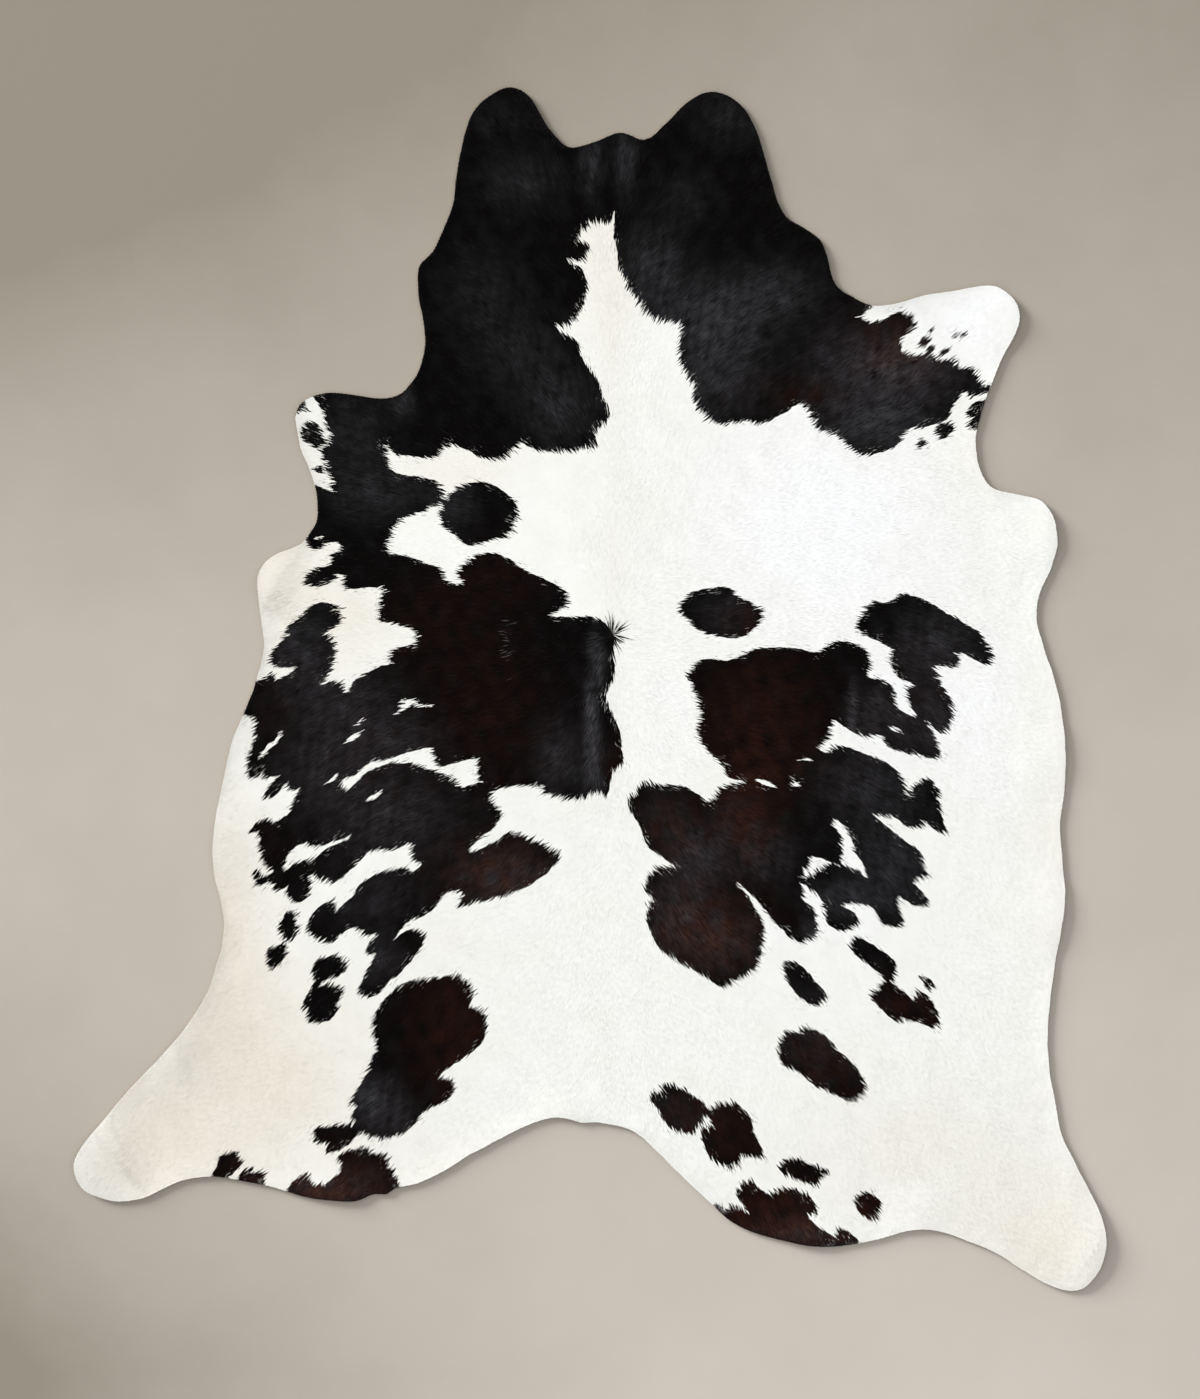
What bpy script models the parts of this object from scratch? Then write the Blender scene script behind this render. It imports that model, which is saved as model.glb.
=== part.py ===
"""A cowhide rug: one whole skin with its hair on, lying flat with the hair side up.

The spine runs along Y, with the head at +Y. X goes to the right as the rug is looked down on,
and the floor is Z = 0. The tables are in centimetres and millimetres, and the model is in metres.
"""
import math

import bmesh
import bpy
import numpy as np
from mathutils import Vector
from mathutils.geometry import delaunay_2d_cdt

CM = 0.01
MM = 0.001

HIDE_LENGTH = 2.225            # tip of the ear to the toe of the hind leg
HIDE_WIDTH = 1.909             # shank to shank across the hind legs
HIDE_THICKNESS = 4.0 * MM      # 2 mm of leather under 2 mm of hair that lies flat
RIM_THICKNESS = 1.8 * MM       # at the trimmed rim the hair ends and the leather shows
RIM_ROUNDING = 9.0 * MM        # how far in from the rim the full thickness starts

RIM_STEP = 17.0 * MM           # spacing of the points round the rim
GRID_STEP = 44.0 * MM          # spacing of the points on the flat of the hide
FOLD_STEP = 22.0 * MM          # spacing of the points along a fold
FOLD_LANES = (-1.0, -0.5, 0.0, 0.5, 1.0)

HAIR_COLOUR = (0.73, 0.70, 0.64, 1.0)
HAIR_ROUGHNESS = 0.62

# The outline, clockwise from the left side of the neck, in the order in which a trimmer's knife
# would go round it. Columns: across (to the right of the spine), along (towards the head), in cm.
OUTLINE = {
    "left ear": (
        (-25.5, 89.1), (-25.0, 92.0), (-24.2, 98.0), (-22.0, 105.8), (-18.5, 109.6),
        (-14.4, 111.2), (-11.0, 109.4), (-8.0, 104.5)),
    "poll": (
        (-4.3, 100.4), (0.0, 100.8), (5.5, 102.8), (10.0, 101.6)),
    "right ear": (
        (13.5, 104.0), (17.5, 108.0), (21.5, 110.3), (25.0, 109.9), (28.5, 107.3),
        (30.8, 103.2), (32.8, 97.0), (34.5, 91.0)),
    "right side of the neck": (
        (36.3, 87.3), (40.0, 85.0), (43.0, 82.5), (44.3, 78.5), (45.6, 74.6), (48.5, 72.6)),
    "right foreleg": (
        (52.0, 70.9), (57.0, 71.3), (61.4, 72.7), (66.2, 73.4), (71.1, 74.3), (75.0, 74.4),
        (78.5, 71.9), (79.5, 68.8), (78.5, 65.3), (76.0, 60.4), (73.8, 55.0)),
    "right armpit": (
        (72.3, 50.1), (71.4, 46.5), (71.8, 42.0), (73.1, 38.6), (75.5, 36.7)),
    "right elbow flap": (
        (79.9, 35.8), (83.6, 34.7), (85.9, 31.2), (86.4, 26.5), (85.4, 22.4), (83.6, 18.7),
        (82.6, 13.5)),
    "right flank": (
        (84.0, 7.6), (86.4, 0.1), (87.4, -5.4), (88.0, -12.0), (87.7, -19.4), (87.0, -24.6),
        (87.4, -31.3), (87.9, -38.5), (87.1, -45.1), (86.0, -51.0), (85.3, -57.0)),
    "right hind leg": (
        (84.7, -63.5), (85.0, -70.2), (86.0, -75.7), (87.3, -82.4), (89.4, -86.8),
        (91.8, -91.6), (94.1, -96.2), (95.4, -100.7), (95.3, -103.9), (94.1, -107.7),
        (91.5, -110.6), (88.5, -111.3), (84.8, -110.2), (80.4, -107.7), (75.2, -104.4),
        (69.7, -102.1)),
    "right side of the rump": (
        (65.2, -100.5), (61.5, -100.0), (58.0, -100.4), (52.6, -102.0), (47.2, -102.9),
        (43.5, -103.2), (38.8, -102.8), (32.0, -101.1), (26.6, -98.9), (22.6, -95.4),
        (17.2, -90.4), (12.8, -85.9), (9.1, -82.6), (5.9, -81.0)),
    "notch of the tail": (
        (1.7, -80.2), (-1.5, -80.3), (-3.7, -79.6), (-6.1, -79.3), (-10.2, -80.2)),
    "left side of the rump": (
        (-14.6, -82.2), (-19.0, -84.5), (-23.5, -87.0), (-27.9, -89.8), (-32.4, -91.6),
        (-36.1, -92.5), (-37.4, -93.4), (-40.1, -93.6), (-43.1, -94.7), (-48.2, -94.7),
        (-53.4, -93.8), (-58.2, -92.3)),
    "left hind leg": (
        (-63.0, -91.3), (-68.5, -90.3), (-74.1, -90.6), (-78.5, -92.3), (-83.0, -94.3),
        (-87.0, -94.8), (-91.5, -93.8), (-94.0, -92.1), (-95.4, -88.7), (-94.2, -85.0),
        (-90.2, -80.1), (-86.3, -75.3), (-81.5, -70.2), (-76.7, -65.0), (-73.0, -60.0)),
    "left flank": (
        (-71.1, -56.8), (-69.1, -51.2), (-67.8, -46.1), (-67.9, -41.1), (-68.8, -37.2),
        (-69.6, -33.1), (-69.7, -28.5), (-69.0, -22.5), (-67.7, -16.5), (-66.3, -10.2),
        (-64.6, -5.9), (-62.6, -1.0)),
    "left elbow flap": (
        (-60.7, 5.0), (-60.4, 9.4), (-61.4, 17.9), (-60.7, 22.6), (-57.1, 25.3),
        (-53.4, 26.8), (-50.5, 31.2)),
    "left foreleg": (
        (-50.5, 35.3), (-51.5, 39.6), (-53.4, 44.4), (-54.4, 50.7), (-52.5, 53.4),
        (-49.0, 54.7), (-43.5, 54.4), (-38.7, 53.7), (-34.8, 54.7)),
    "left side of the neck": (
        (-31.5, 59.2), (-30.5, 65.1), (-31.6, 72.1), (-31.6, 77.7), (-28.9, 81.2),
        (-26.7, 85.8)),
}

# Where the dry rim curls off the floor.
# Columns: place, across cm, along cm, reach cm, rise mm.
RIM_CURLS = (
    ("left ear", -17.0, 110.0, 13.0, 5.0),
    ("right ear", 24.0, 110.0, 13.0, 5.0),
    ("right side of the neck", 45.0, 80.0, 9.0, 4.0),
    ("right foreleg", 80.0, 70.0, 15.0, 7.0),
    ("right elbow flap", 87.0, 30.0, 14.0, 7.0),
    ("right belly", 89.0, -12.0, 14.0, 6.0),
    ("right stifle", 88.5, -42.0, 14.0, 7.0),
    ("right shank", 95.5, -103.0, 17.0, 9.0),
    ("right hock", 61.0, -99.0, 9.0, 5.0),
    ("right thigh", 41.0, -104.0, 13.0, 6.0),
    ("notch of the tail", -4.0, -79.0, 9.0, 5.0),
    ("left thigh", -46.0, -96.0, 13.0, 6.0),
    ("left hock", -71.0, -89.5, 8.0, 4.0),
    ("left shank", -96.0, -89.0, 17.0, 9.0),
    ("left stifle", -79.0, -66.0, 12.0, 5.0),
    ("left belly", -71.0, -29.0, 13.0, 6.0),
    ("left elbow flap", -62.0, 19.0, 10.0, 7.0),
    ("left foreleg", -55.0, 51.0, 11.0, 6.0),
)

# The low folds that were pressed into the skin. Columns: name, start across cm, start along cm,
# end across cm, end along cm, half width cm, rise mm.
FOLDS = (
    ("ridge of the neck", 4.3, 101.0, 4.0, 91.0, 2.4, 3.0),
    ("crease of the right cheek", 20.3, 108.0, 20.6, 99.0, 2.0, 2.0),
    ("crease of the blaze", 10.0, 84.5, 9.7, 76.0, 2.0, 2.0),
    ("ridge of the back", 1.6, 10.0, 0.9, -19.0, 2.8, 2.5),
    ("crease of the left elbow", -54.0, 25.0, -58.6, 15.5, 2.2, 4.0),
    ("upper crease of the left shank", -75.9, -65.0, -74.2, -70.5, 1.8, 3.0),
    ("middle crease of the left shank", -87.4, -79.2, -85.1, -85.4, 1.8, 3.0),
    ("lower crease of the left shank", -90.4, -82.6, -83.4, -90.0, 2.0, 3.5),
    ("upper crease of the right shank", 86.9, -85.5, 88.9, -93.0, 1.8, 2.5),
    ("lower crease of the right shank", 93.2, -101.5, 90.9, -109.0, 1.8, 3.5),
)


def smooth_step(t):
    """Falls from 1 at t = 0 to 0 at t = 1 and stays there, level at both ends."""
    t = min(max(t, 0.0), 1.0)
    return 0.5 * (1.0 + math.cos(math.pi * t))


def closed_curve(knots, step):
    """Points about one step apart on a smooth closed curve through the knots (Catmull-Rom)."""
    points = []
    count = len(knots)
    for i in range(count):
        before, start, end, after = (knots[(i + k) % count] for k in (-1, 0, 1, 2))
        pieces = max(1, round((end - start).length / step))
        for j in range(pieces):
            t = j / pieces
            tangents = (end - before) * (t - 2 * t**2 + t**3) + (after - start) * (t**3 - t**2)
            places = start * (1 - 3 * t**2 + 2 * t**3) + end * (3 * t**2 - 2 * t**3)
            points.append(places + tangents * 0.5)
    return points


def hide_outline():
    """The rim's points, centred on the origin and stretched to the driving length and width."""
    knots = [Vector(row) * CM for section in OUTLINE.values() for row in section]
    rim = closed_curve(knots, RIM_STEP)
    low = Vector((min(p.x for p in rim), min(p.y for p in rim)))
    high = Vector((max(p.x for p in rim), max(p.y for p in rim)))
    middle = (low + high) * 0.5
    stretch_x = HIDE_WIDTH / (high.x - low.x)
    stretch_y = HIDE_LENGTH / (high.y - low.y)
    return [Vector(((p.x - middle.x) * stretch_x, (p.y - middle.y) * stretch_y)) for p in rim]


def inset(loop, distance):
    """A clockwise loop moved inwards by a distance."""
    moved = []
    for i, point in enumerate(loop):
        run = (loop[(i + 1) % len(loop)] - loop[i - 1]).normalized()
        moved.append(point + Vector((run.y, -run.x)) * distance)
    return moved


def distance_to_run(point, start, end):
    """How far a point is from the straight run between two ends."""
    run = end - start
    share = min(max((point - start).dot(run) / run.length_squared, 0.0), 1.0)
    return (point - (start + run * share)).length


def height_of(point):
    """How far the underside lies above the floor at a point."""
    height = 0.0
    for _place, across, along, reach, rise in RIM_CURLS:
        away = (point - Vector((across, along)) * CM).length
        height += rise * MM * smooth_step(away / (reach * CM))
    for _name, x0, y0, x1, y1, half_width, rise in FOLDS:
        away = distance_to_run(point, Vector((x0, y0)) * CM, Vector((x1, y1)) * CM)
        height += rise * MM * smooth_step(away / (half_width * CM))
    return height


def is_inside(point, loop):
    """Whether a point is inside a closed loop, by counting the crossings to its right."""
    inside = False
    for i, corner in enumerate(loop):
        last = loop[i - 1]
        if (corner.y > point.y) != (last.y > point.y):
            share = (point.y - corner.y) / (last.y - corner.y)
            if point.x < corner.x + (last.x - corner.x) * share:
                inside = not inside
    return inside


def fold_points():
    """Lanes of points along every fold, so that the mesh follows its crest and its feet."""
    points = []
    for _name, x0, y0, x1, y1, half_width, _rise in FOLDS:
        start = Vector((x0, y0)) * CM
        run = Vector((x1, y1)) * CM - start
        side = Vector((-run.y, run.x)).normalized() * half_width * CM
        pieces = max(2, round(run.length / FOLD_STEP))
        for lane in FOLD_LANES:
            points += [start + run * (i / pieces) + side * lane for i in range(pieces + 1)]
    return points


def grid_points(columns, rows):
    """A staggered grid of points over a rectangle centred on the origin."""
    points = []
    for row in range(-rows, rows + 1):
        shift = 0.5 * (row % 2)
        points += [Vector((column + shift, row * math.sqrt(0.75))) * GRID_STEP
                   for column in range(-columns, columns + 1)]
    return points


def keep_clear(points, others, gap):
    """The points that are farther than a gap from every one of the others."""
    crowd = np.array([tuple(p) for p in others])
    kept = []
    for point in points:
        if np.min(np.hypot(*(crowd - np.array(point)).T)) > gap:
            kept.append(point)
    return kept


def make_sheet():
    """The underside of the hide as one open surface, with a group that thins its rim."""
    rim = hide_outline()
    inner = inset(rim, RIM_ROUNDING)
    folds = [p for p in fold_points() if is_inside(p, inner)]
    folds = keep_clear(folds, inner, 0.4 * FOLD_STEP)
    columns = math.ceil(0.5 * HIDE_WIDTH / GRID_STEP)
    rows = math.ceil(0.5 * HIDE_LENGTH / GRID_STEP / math.sqrt(0.75))
    grid = [p for p in grid_points(columns, rows) if is_inside(p, inner)]
    grid = keep_clear(grid, inner, 0.4 * GRID_STEP)
    grid = keep_clear(grid, folds, 0.5 * GRID_STEP)

    points = rim + inner + folds + grid
    count = len(rim)
    inner_edges = [(count + i, count + (i + 1) % count) for i in range(count)]
    rim_face = [list(range(count))]
    places, _edges, faces, origins, _, _ = delaunay_2d_cdt(points, inner_edges, rim_face, 1, 1e-6)

    mesh = bpy.data.meshes.new("hide")
    mesh.from_pydata([(p.x, p.y, height_of(p)) for p in places], [], faces)
    hide = bpy.data.objects.new("hide", mesh)
    bpy.context.collection.objects.link(hide)
    full = hide.vertex_groups.new(name="full thickness")
    full.add([i for i, origin in enumerate(origins) if min(origin) >= count], 1.0, "REPLACE")

    bm = bmesh.new()
    bm.from_mesh(mesh)
    bmesh.ops.recalc_face_normals(bm, faces=bm.faces)
    if sum(face.normal.z for face in bm.faces) < 0.0:
        bmesh.ops.reverse_faces(bm, faces=bm.faces)
    bm.to_mesh(mesh)
    bm.free()
    return hide


def hair_material():
    """White hair, the ground colour of the coat."""
    material = bpy.data.materials.new("cowhide")
    material.use_nodes = True
    shader = material.node_tree.nodes["Principled BSDF"]
    shader.inputs["Base Color"].default_value = HAIR_COLOUR
    shader.inputs["Roughness"].default_value = HAIR_ROUGHNESS
    shader.inputs["Metallic"].default_value = 0.0
    return material


for leftover in list(bpy.data.objects):
    bpy.data.objects.remove(leftover, do_unlink=True)

cowhide = make_sheet()
thickness = cowhide.modifiers.new("thickness", "SOLIDIFY")
thickness.thickness = HIDE_THICKNESS
thickness.offset = 1.0
thickness.vertex_group = "full thickness"
thickness.thickness_vertex_group = RIM_THICKNESS / HIDE_THICKNESS
cowhide.data.materials.append(hair_material())
cowhide.data.shade_smooth()
cowhide.data.set_sharp_from_angle(angle=math.radians(40.0))
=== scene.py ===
"""A cowhide rug: one whole skin with its black and white coat, laid flat with the hair side up.

The spine runs along Y with the head at +Y, and the floor is Z = 0. Tables are in centimetres
across (to the right of the spine) and along (towards the head), and the model is in metres.
"""
import math

import bmesh
import bpy
import numpy as np
from mathutils import Matrix, Vector
from mathutils.bvhtree import BVHTree
from mathutils.geometry import delaunay_2d_cdt


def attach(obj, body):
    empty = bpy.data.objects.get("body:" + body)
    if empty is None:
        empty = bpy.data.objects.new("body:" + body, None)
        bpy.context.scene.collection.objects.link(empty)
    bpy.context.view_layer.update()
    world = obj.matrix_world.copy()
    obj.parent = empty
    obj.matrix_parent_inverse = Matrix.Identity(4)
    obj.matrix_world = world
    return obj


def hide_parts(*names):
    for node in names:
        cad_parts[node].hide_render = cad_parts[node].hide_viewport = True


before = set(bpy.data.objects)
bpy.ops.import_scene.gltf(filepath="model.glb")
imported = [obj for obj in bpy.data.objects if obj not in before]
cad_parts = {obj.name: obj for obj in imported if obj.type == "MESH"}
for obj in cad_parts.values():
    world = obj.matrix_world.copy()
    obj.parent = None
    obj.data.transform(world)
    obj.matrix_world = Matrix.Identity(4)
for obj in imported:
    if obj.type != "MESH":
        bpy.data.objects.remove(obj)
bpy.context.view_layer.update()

# ---- The skin ---------------------------------------------------------------------------------
# The tanned hide itself: one piece of soft leather, trimmed round with a knife and laid flesh
# side down. It lies on the floor but for the curls at its rim and the folds that packing left,
# and it takes those from the solid.
CM = 0.01
MM = 0.001
LEATHER = 2.4 * MM
SKIN_STEP = 20.0 * MM          # spacing of the points on the flat of the skin
TRIM_WANDER = 0.5 * MM         # how far the knife strayed from a smooth line
TRIM_SWING = 50.0 * MM         # how long its swings are
RIM_THICKNESS = 1.8 * MM       # of the solid
EDGE_LIFT = 3.0 * MM           # how far the edge stands off the floor where it doesn't curl
SETTLING = 2                   # rounds in which the soft leather evens out its folds
ROW_STEP = math.sqrt(0.75)     # from row to row where the points of all the rows are 1 apart
HIDE_FLAT = (1.909, 2.225)     # the rectangle that the hide fills


def top_rim(solid):
    """The loop of points round the upper edge of the solid, in order."""
    after = {}
    for edge in solid.edges:
        tops = [face for face in edge.link_faces if face.normal.z > 0.5]
        if len(tops) == 1:
            for loop in tops[0].loops:
                if loop.edge == edge:
                    after[loop.vert] = loop.link_loop_next.vert
    first = next(iter(after))
    rim, here = [first.co.copy()], after[first]
    while here != first:
        rim.append(here.co.copy())
        here = after[here]
    return np.array(rim)


def round_curve(knots, pieces):
    """A smooth closed curve through its knots, with so many pieces between each two."""
    knots = np.asarray(knots, dtype=float)
    before, past, beyond = (np.roll(knots, shift, axis=0) for shift in (1, -1, -2))
    steps = []
    for t in np.arange(pieces) / pieces:
        bend = 2.0 * before - 5.0 * knots + 4.0 * past - beyond
        twist = 3.0 * knots - before - 3.0 * past + beyond
        steps.append(knots + 0.5 * t * (past - before + t * (bend + t * twist)))
    return np.stack(steps, axis=1).reshape(-1, knots.shape[1])


def left_of(loop):
    """The way to the left at each point of a closed loop, as unit vectors on the flat."""
    run = np.roll(loop, -1, axis=0) - np.roll(loop, 1, axis=0)
    return np.column_stack([-run[:, 1], run[:, 0]]) / np.hypot(run[:, 0], run[:, 1])[:, None]


def is_inside(places, loop):
    """Whether each place is in a closed loop, from how many of its edges lie to the right."""
    order = np.argsort(places[:, 1], kind="stable")
    x, y = places[order, 0], places[order, 1]
    crossings = np.zeros(len(places), dtype=int)
    for (x0, y0), (x1, y1) in zip(loop, np.roll(loop, -1, axis=0)):
        low, high = np.searchsorted(y, (min(y0, y1), max(y0, y1)), side="left")
        if high > low:
            share = (y[low:high] - y0) / (y1 - y0)
            crossings[low:high] += x[low:high] < x0 + share * (x1 - x0)
    inside = np.empty(len(places), dtype=bool)
    inside[order] = crossings % 2 == 1
    return inside


def wander(places, wavelength, seed):
    """A smooth random swell over the hide, mostly between -1 and 1, in waves of this length."""
    draw = np.random.default_rng(seed)
    swell = np.zeros(len(places))
    for _ in range(9):
        turn, phase = draw.uniform(0.0, 2.0 * math.pi, 2)
        pace = 2.0 * math.pi / (wavelength * draw.uniform(0.7, 1.5))
        run = places[:, 0] * math.cos(turn) + places[:, 1] * math.sin(turn)
        swell += np.sin(run * pace + phase)
    return swell / 3.0


def new_object(name, data):
    """An object of the scene with this data."""
    added = bpy.data.objects.new(name, data)
    bpy.context.collection.objects.link(added)
    return added


cad_copy = bmesh.new()
cad_copy.from_mesh(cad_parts["hide"].data)
bmesh.ops.remove_doubles(cad_copy, verts=cad_copy.verts, dist=1e-6)
cad_copy.normal_update()
solid_tree = BVHTree.FromBMesh(cad_copy)
rim = round_curve(top_rim(cad_copy), 2)
cad_copy.free()
inward = left_of(rim)
rim[:, :2] += inward * (TRIM_WANDER * (1.0 + wander(rim[:, :2], TRIM_SWING, 11)))[:, None]


def underside_height(x, y):
    """How far the solid's underside lies above the floor."""
    hit = solid_tree.ray_cast(Vector((x, y, -1.0)), Vector((0.0, 0.0, 1.0)))[0]
    return hit.z if hit else 0.0


columns = math.ceil(0.5 * HIDE_FLAT[0] / SKIN_STEP)
rows = math.ceil(0.5 * HIDE_FLAT[1] / SKIN_STEP / ROW_STEP)
grid = np.array([((column + 0.5 * (row % 2)) * SKIN_STEP, row * ROW_STEP * SKIN_STEP)
                 for row in range(-rows, rows + 1) for column in range(-columns, columns + 1)])
grid = grid[is_inside(grid, rim[:, :2] + inward * 0.5 * SKIN_STEP)]
flat_points = [Vector(p) for p in np.concatenate([rim[:, :2], grid])]
places, _, faces, _, _, _ = delaunay_2d_cdt(
    flat_points, [], [list(range(len(rim)))], 1, 1e-7)
heights = [max(top - RIM_THICKNESS, EDGE_LIFT) for top in rim[:, 2]]
heights += [underside_height(p.x, p.y) for p in places[len(rim):]]
skin_mesh = bpy.data.meshes.new("skin")
skin_mesh.from_pydata([(p.x, p.y, h) for p, h in zip(places, heights)], [], faces)
skin = new_object("skin", skin_mesh)
turned = bmesh.new()
turned.from_mesh(skin_mesh)
for face in turned.faces:
    if face.normal.z < 0.0:
        face.normal_flip()
off_the_rim = [vert for vert in turned.verts if not vert.is_boundary]
for _ in range(SETTLING):
    bmesh.ops.smooth_vert(turned, verts=off_the_rim, factor=0.5, use_axis_z=True)
turned.to_mesh(skin_mesh)
turned.free()

# ---- The markings -----------------------------------------------------------------------------
# The coat is white with black. Each marking is a closed loop given in short runs of points, and
# the white islands are cut out of the black. Runs that leave the hide only close their loop.
BLACK_COAT = {
    "outside the head": (
        (52, 71.5), (46, 82), (37, 90), (34, 104), (24, 114), (12, 106), (4, 106), (-3, 104),
        (-13, 114), (-24, 111), (-29, 96), (-30, 88), (-37, 78), (-35, 66), (-39, 58), (-54, 57)),
    "left foreleg": (
        (-51.3, 54.1), (-49.6, 51.6), (-48.8, 48.1), (-48, 47.2), (-49, 44.8), (-49.9, 44),
        (-48.6, 39.9), (-47.9, 36.4), (-50.8, 37.4), (-56, 35), (-55, 29.5)),
    "left armpit": (
        (-52.6, 28.6), (-52.4, 27), (-51.6, 26.2), (-50.4, 25.8), (-49.4, 26.8), (-47.3, 27.4),
        (-46.1, 26.5), (-47.3, 25.2), (-48.3, 24.4), (-48.1, 23.4), (-49.2, 22.5), (-50.6, 22.5),
        (-52.2, 21.6), (-53.2, 19.9), (-52.2, 19.1), (-50.1, 19), (-48, 20), (-46.5, 21.7),
        (-45.8, 20.5), (-45.1, 18.6), (-38.9, 18.8), (-39, 16.1), (-39.3, 14.3), (-38.7, 12.5),
        (-33.2, 11.1), (-32.6, 8.4), (-36.7, 7.2), (-37.6, 4.6), (-41.6, 2.9), (-43.8, 1.1),
        (-45.5, -0.9), (-46.3, 0.9), (-48.3, 1.3), (-50.5, -0.2)),
    "left flank patch": (
        (-48.5, 2.8), (-47.6, 5.4), (-47.6, 7.2), (-48.1, 9.2), (-49.3, 9.9), (-48.2, 11.1),
        (-46.3, 12.4), (-46.3, 14.2), (-47.3, 15.4), (-50, 15.7), (-52, 15.1), (-54.3, 13.1),
        (-56.3, 11), (-56.8, 9.4), (-59, 6.8), (-59.2, 4.2), (-55, 3.9), (-56, 2.6), (-58.4, 1.6),
        (-59, 2.9), (-61.3, 1.4), (-67, 0), (-67, -4)),
    "left flank": (
        (-63.1, -5.1), (-62.4, -7.3), (-62.6, -10.2), (-63.6, -13.2), (-63.6, -15.9),
        (-62.3, -16.6), (-61, -15.4), (-60.6, -16.7), (-58.2, -16.2), (-59.6, -18.2),
        (-60.7, -20.3), (-58.2, -19.8), (-56.6, -17.6), (-55.7, -15.6), (-56.2, -18.8),
        (-53.9, -18.6), (-55.2, -21.1), (-56, -23.3), (-58.4, -24.8), (-60, -24.1), (-63, -26.3),
        (-61.3, -27.6), (-61, -31.4), (-59.1, -34.3), (-60.6, -34.8), (-62.3, -33.9),
        (-61.9, -36.4), (-59.6, -35.9), (-58.2, -37.4), (-56.3, -36.8), (-55.8, -38.9),
        (-53.4, -39.4), (-51.9, -36.8), (-52.1, -34.4), (-49.5, -35.7), (-47.3, -35.9)),
    "left stifle": (
        (-44.9, -33.9), (-42.5, -31.4), (-40.5, -29.9), (-36.4, -29.9), (-34.2, -28.6),
        (-33.1, -28.9), (-33.3, -31.4), (-31.8, -32.2), (-32.4, -33.7), (-35.1, -33.5),
        (-38.1, -33.9), (-42, -35.7), (-44.4, -38.7), (-47.5, -41.7), (-47.4, -39.4), (-50, -40.3),
        (-52.6, -43.8), (-51.4, -46), (-50, -46.7), (-48.2, -47.3), (-44.4, -44.1), (-41.8, -45.9),
        (-39.7, -45.6), (-41.6, -48.5), (-40.1, -49.7), (-42.2, -53.8), (-42.8, -56.7),
        (-40.1, -56.7), (-36.8, -53.8), (-34.4, -51.6), (-31.1, -47.2), (-31.6, -44.9),
        (-34.6, -45.1), (-36.6, -46.9), (-34.4, -43.5), (-30.9, -42), (-28.5, -40.1),
        (-26.8, -37.6), (-24, -38), (-24.7, -40.3)),
    "left haunch": (
        (-22, -39.8), (-15.4, -38.2), (-10.9, -36.1), (-7.8, -33.7), (-6, -31.6), (-7.6, -29.6),
        (-12, -27.6), (-15, -26.8), (-18.5, -29), (-22.9, -30.3), (-20.5, -27.6), (-17.6, -25.2),
        (-16.8, -22.8), (-18.1, -21.1), (-18.7, -19.1), (-14.1, -18), (-9.8, -18.1), (-8.6, -19.3),
        (-5.9, -20.2), (-2.6, -20.7)),
    "spine": (
        (1.9, -19.3), (3, -20.1), (4.3, -15.7), (5.8, -14.5), (6, -12), (5.2, -7.2), (2.9, -2.4),
        (3.3, -0.6), (4.2, 1.6), (4.6, 5.3), (4.3, 7.6), (5, 10.3)),
    "white behind the left shoulder": (
        (2.6, 12.4), (-1.3, 13.7), (-4.6, 13.2), (-7.9, 13.7), (-5, 15.2), (-4.5, 17.6),
        (-7, 19.5), (-12.4, 22.1), (-16.3, 24.7), (-19.8, 25.1), (-22.8, 23.9), (-24.6, 21.8),
        (-24, 19.4), (-26.8, 19.9), (-27.6, 22.2), (-30.9, 23.3), (-34.2, 24.7), (-37.6, 25.3),
        (-37, 28.8), (-35.2, 31.6), (-31.3, 32.9), (-28, 34.4), (-27.6, 36.3), (-28.9, 38.5),
        (-31.6, 39.2), (-36.3, 40.1), (-37.7, 42.3), (-38.1, 45.4), (-36.5, 43.6), (-33.1, 43.3),
        (-29.4, 42.9), (-26.8, 45.1), (-23.5, 44.8), (-19.6, 42.9), (-15.7, 43.2), (-12.9, 45.7),
        (-9.4, 44.2), (-5, 44.2), (-0.8, 44.9)),
    "blaze": (
        (1.2, 45.4), (0.8, 47.7), (3.6, 50.7), (2.6, 53.8), (0.9, 58), (-1.8, 61.7), (-3, 65),
        (-6.9, 67.3), (-3.5, 68.1), (-0.9, 73), (-1.5, 77.6), (-4.4, 79.3), (-1.3, 79.9),
        (-0.4, 82.3), (-2.4, 83), (-1.5, 85.4), (0.5, 86.8), (3.3, 86.6), (4.7, 88.6), (4.4, 85),
        (5, 81.5), (5.7, 77.6), (8.6, 72.6), (12.1, 68.8), (16.8, 67.6), (16.7, 64), (17.3, 60),
        (19.6, 56.3), (19.4, 53.8), (21.8, 50.6)),
    "right shoulder": (
        (24.6, 49.2), (28.7, 49.8), (32.4, 49.4), (36.1, 51.3), (39, 53), (40.7, 51.6),
        (42.4, 48.5), (46.4, 46.5), (49.6, 43.7), (54, 43.8), (57.3, 45.5), (59.2, 48.3),
        (61.8, 48.6), (65.6, 49.7), (67.3, 52), (69.2, 55.2), (71, 54.3), (73.8, 55), (77, 55.6)),
    "right foreleg": (
        (73.8, 56), (72.1, 57.5), (71.2, 59.4), (68.8, 59.6), (67.4, 61.1), (64.7, 60.8),
        (63.3, 62.1), (60.6, 61.9), (58, 63), (58.2, 65.6), (60.5, 66.8), (60, 68.6), (57.5, 69.8),
        (54.1, 68.3), (50.8, 68.4), (51.2, 70.5)),
}
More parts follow.
